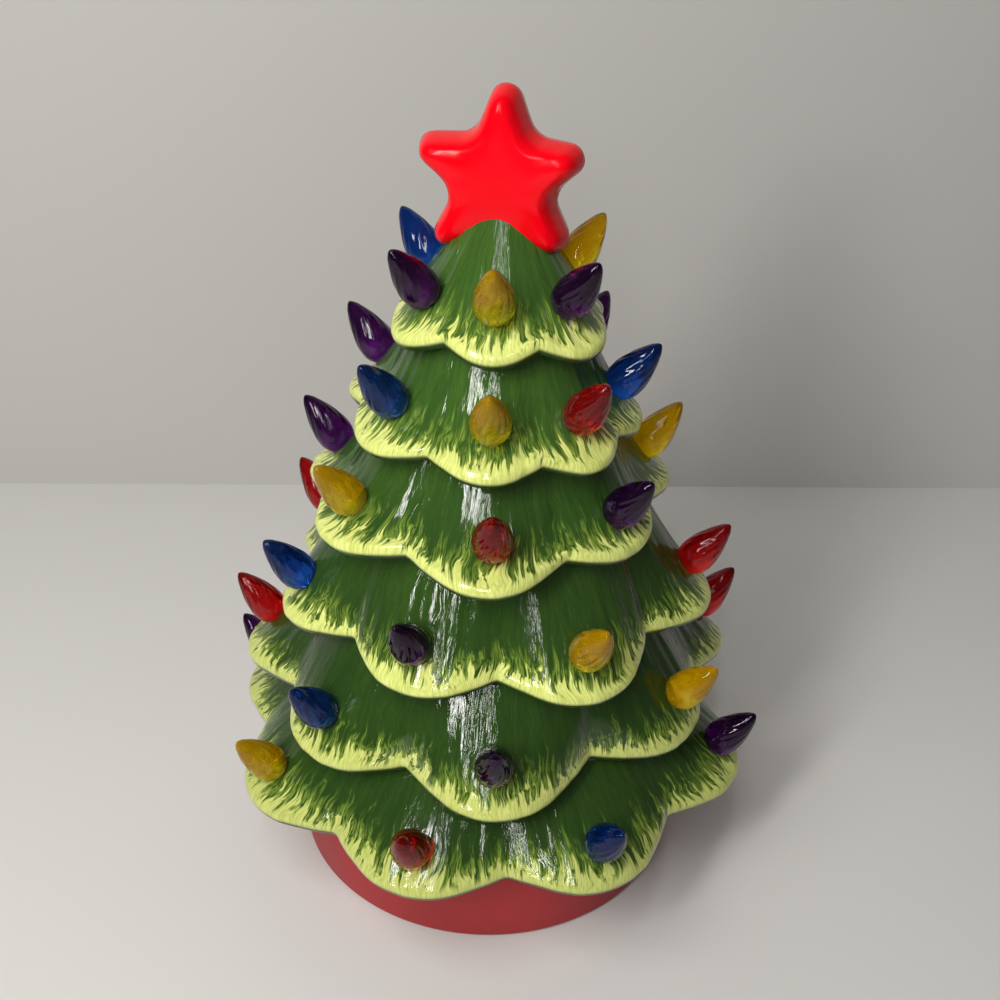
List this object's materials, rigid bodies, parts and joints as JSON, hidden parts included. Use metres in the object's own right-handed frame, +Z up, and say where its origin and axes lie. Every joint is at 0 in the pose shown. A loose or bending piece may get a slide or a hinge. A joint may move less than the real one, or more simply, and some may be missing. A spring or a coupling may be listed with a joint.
{
  "type": "ceramic christmas tree",
  "caption": "Tabletop glazed ceramic Christmas tree with scalloped rows of branches, plug-in twist bulbs, a star on top and a battery-lit round base.",
  "frame": {"origin": "centre of the underside, on the table that the rubber feet stand on", "axes": "+Z up along the tree's axis, -Y towards the side that the picture shows, +X to the viewer's right"},
  "size_m": [0.1498, 0.1483, 0.2154],
  "materials": {
    "green_glaze": "gloss glaze",
    "red_glaze": "gloss glaze",
    "base_glaze": "satin glaze",
    "yellow_bulb_plastic": "clear",
    "blue_bulb_plastic": "clear",
    "purple_bulb_plastic": "clear",
    "red_bulb_plastic": "clear",
    "cover_plastic": "fine matte",
    "cell_wrap": "plain wrap",
    "contact_metal": "plated",
    "switch_plastic": "matte",
    "board_laminate": "matte",
    "lamp_lens": "clear",
    "wire_cover": "matte",
    "screw_steel": "plated",
    "foot_rubber": "matte"
  },
  "bodies": {
    "base": {"base_cover": "cover_plastic", "base_drum": "base_glaze", "battery_cell_1": "cell_wrap", "battery_cell_2": "cell_wrap", "battery_cell_3": "cell_wrap", "cover_screws": "screw_steel", "lead_wires": "wire_cover", "led_board": "board_laminate", "led_lamp": "lamp_lens", "positive_contacts": "contact_metal", "rubber_feet": "foot_rubber", "spring_contacts": "contact_metal", "switch_housing": "switch_plastic"},
    "tree": {"tree_shell": "green_glaze", "star_topper": "red_glaze", "blue_bulb_1_1": "blue_bulb_plastic", "blue_bulb_2_2": "blue_bulb_plastic", "blue_bulb_2_5": "blue_bulb_plastic", "blue_bulb_3_6": "blue_bulb_plastic", "blue_bulb_4_2": "blue_bulb_plastic", "blue_bulb_4_6": "blue_bulb_plastic", "blue_bulb_5_2": "blue_bulb_plastic", "blue_bulb_6_4": "blue_bulb_plastic", "blue_bulb_6_8": "blue_bulb_plastic", "purple_bulb_1_2": "purple_bulb_plastic", "purple_bulb_1_4": "purple_bulb_plastic", "purple_bulb_2_1": "purple_bulb_plastic", "purple_bulb_2_6": "purple_bulb_plastic", "purple_bulb_3_1": "purple_bulb_plastic", "purple_bulb_3_4": "purple_bulb_plastic", "purple_bulb_4_3": "purple_bulb_plastic", "purple_bulb_5_3": "purple_bulb_plastic", "purple_bulb_5_6": "purple_bulb_plastic", "purple_bulb_6_1": "purple_bulb_plastic", "purple_bulb_6_5": "purple_bulb_plastic", "red_bulb_1_6": "red_bulb_plastic", "red_bulb_2_4": "red_bulb_plastic", "red_bulb_2_7": "red_bulb_plastic", "red_bulb_3_3": "red_bulb_plastic", "red_bulb_3_7": "red_bulb_plastic", "red_bulb_4_1": "red_bulb_plastic", "red_bulb_4_5": "red_bulb_plastic", "red_bulb_5_1": "red_bulb_plastic", "red_bulb_5_5": "red_bulb_plastic", "red_bulb_6_3": "red_bulb_plastic", "red_bulb_6_7": "red_bulb_plastic", "yellow_bulb_1_3": "yellow_bulb_plastic", "yellow_bulb_1_5": "yellow_bulb_plastic", "yellow_bulb_2_3": "yellow_bulb_plastic", "yellow_bulb_3_2": "yellow_bulb_plastic", "yellow_bulb_3_5": "yellow_bulb_plastic", "yellow_bulb_4_4": "yellow_bulb_plastic", "yellow_bulb_4_7": "yellow_bulb_plastic", "yellow_bulb_5_4": "yellow_bulb_plastic", "yellow_bulb_5_7": "yellow_bulb_plastic", "yellow_bulb_6_2": "yellow_bulb_plastic", "yellow_bulb_6_6": "yellow_bulb_plastic"},
    "door": {"battery_door": "cover_plastic"},
    "knob": {"switch_knob": "switch_plastic"}
  },
  "joints": [
    {"name": "tree_lift", "type": "slide", "parent": "base", "child": "tree", "axis": [0, 0, 1], "range_m": [0, 0.06]},
    {"name": "battery_door_hinge", "type": "hinge", "parent": "base", "child": "door", "pos_m": [0, -0.0211, 0.0025], "axis": [-1, 0, 0], "range_deg": [0, 100]},
    {"name": "switch_slide", "type": "slide", "parent": "base", "child": "knob", "axis": [1, 0, 0], "range_m": [0, 0.004]}
  ]
}
